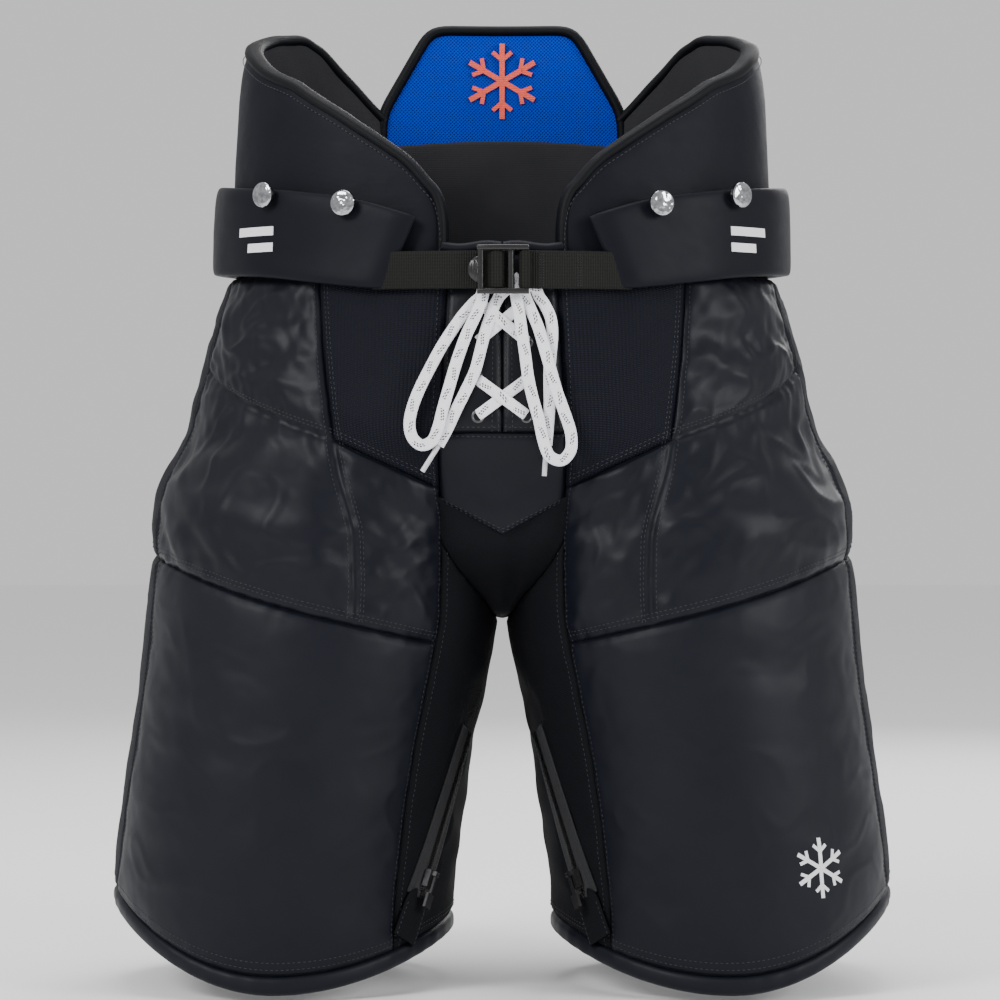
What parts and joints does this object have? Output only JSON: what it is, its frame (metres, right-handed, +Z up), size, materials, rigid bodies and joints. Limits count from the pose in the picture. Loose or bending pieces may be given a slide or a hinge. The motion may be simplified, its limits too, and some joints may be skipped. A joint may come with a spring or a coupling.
{
  "type": "hockey pants",
  "caption": "Padded hockey pants with belt, lace-up fly, kidney wings, spine pad, hidden guards, swinging legs, a tilting buckle and inner-leg zips.",
  "frame": {"origin": "centre of the waist, level with the middle of the waist webbing", "axes": "+Z up, the front faces -Y, the wearer's left is +X"},
  "size_m": [0.5374, 0.2819, 0.678],
  "materials": {
    "rib_knit": "matte ribbed stretch",
    "shell_nylon": "semi-gloss woven nylon",
    "satin_nylon": "smooth satin nylon",
    "fly_nylon": "glossy coated nylon",
    "side_twill": "ribbed twill",
    "stretch_knit": "matte stretch knit",
    "lining": "brushed lining",
    "wing_fabric": "brushed nylon",
    "binding": "rolled binding tape",
    "blue_mesh": "spacer mesh",
    "belt_nylon": "smooth padded nylon",
    "webbing": "ribbed webbing",
    "lace": "flat woven lace",
    "foam": "closed-cell foam",
    "guard_plastic": "moulded",
    "buckle_plastic": "moulded",
    "pull_plastic": "moulded",
    "chrome": "polished",
    "gunmetal": "black enamel",
    "aglet": "clear-coated tip",
    "zip_tape": "woven tape",
    "zip_metal": "black nickel"
  },
  "bodies": {
    "root": {"left_rib_panel": "rib_knit", "right_rib_panel": "rib_knit", "left_hip_panel": "shell_nylon", "right_hip_panel": "shell_nylon", "left_side_stripe": "side_twill", "right_side_stripe": "side_twill", "left_seat_panel": "shell_nylon", "right_seat_panel": "shell_nylon", "seat_center_panel": "shell_nylon", "left_fly": "fly_nylon", "right_fly": "fly_nylon", "fly_tongue": "lining", "crotch_v_panel": "shell_nylon", "crotch_gusset": "stretch_knit", "left_hip_guard": "guard_plastic", "right_hip_guard": "guard_plastic", "left_hip_foam": "foam", "right_hip_foam": "foam", "hip_liner": "lining", "left_kidney_wing": "wing_fabric", "right_kidney_wing": "wing_fabric", "edge_bindings": "binding", "spine_pad": "blue_mesh", "lumbar_liner": "lining", "tailbone_guard": "guard_plastic", "left_belt_pad": "belt_nylon", "right_belt_pad": "belt_nylon", "left_strap": "webbing", "right_strap": "webbing", "suspender_buttons": "chrome", "eyelets": "gunmetal", "lacing": "lace", "left_lace_loop": "lace", "right_lace_loop": "lace", "left_lace_tail": "lace", "right_lace_tail": "lace", "lace_aglets": "aglet"},
    "left_leg": {"left_thigh_front": "satin_nylon", "left_thigh_side": "side_twill", "left_thigh_back": "shell_nylon", "left_inner_leg": "stretch_knit", "left_hem_band": "binding", "left_thigh_guard": "guard_plastic", "left_thigh_foam": "foam", "left_leg_liner": "lining", "left_zip_tape": "zip_tape"},
    "right_leg": {"right_thigh_front": "satin_nylon", "right_thigh_side": "side_twill", "right_thigh_back": "shell_nylon", "right_inner_leg": "stretch_knit", "right_hem_band": "binding", "right_thigh_guard": "guard_plastic", "right_thigh_foam": "foam", "right_leg_liner": "lining", "right_zip_tape": "zip_tape"},
    "buckle": {"ladder_buckle": "buckle_plastic"},
    "left_slider": {"left_zip_slider": "zip_metal"},
    "right_slider": {"right_zip_slider": "zip_metal"},
    "left_pull": {"left_zip_pull": "pull_plastic"},
    "right_pull": {"right_zip_pull": "pull_plastic"}
  },
  "joints": [
    {"name": "left_hip_swing", "type": "hinge", "parent": "root", "child": "left_leg", "pos_m": [0.121, 0, -0.12], "axis": [-1, 0, 0], "range_deg": [-20, 30]},
    {"name": "right_hip_swing", "type": "hinge", "parent": "root", "child": "right_leg", "pos_m": [-0.121, 0, -0.12], "axis": [-1, 0, 0], "range_deg": [-20, 30]},
    {"name": "buckle_tilt", "type": "hinge", "parent": "root", "child": "buckle", "pos_m": [0.015, -0.1357, 0], "axis": [0, 0, 1], "range_deg": [0, 50]},
    {"name": "left_zip_slide", "type": "slide", "parent": "left_leg", "child": "left_slider", "axis": [-0.2768, 0.3375, 0.8997], "range_m": [0, 0.1]},
    {"name": "left_pull_swing", "type": "hinge", "parent": "left_slider", "child": "left_pull", "pos_m": [0.04444, -0.0826, -0.40409], "axis": [-0.3964, 0.8128, -0.4269], "range_deg": [0, 170]},
    {"name": "right_zip_slide", "type": "slide", "parent": "right_leg", "child": "right_slider", "axis": [0.2768, 0.3375, 0.8997], "range_m": [0, 0.1]},
    {"name": "right_pull_swing", "type": "hinge", "parent": "right_slider", "child": "right_pull", "pos_m": [-0.04444, -0.0826, -0.40409], "axis": [-0.3964, -0.8128, 0.4269], "range_deg": [0, 170]}
  ]
}
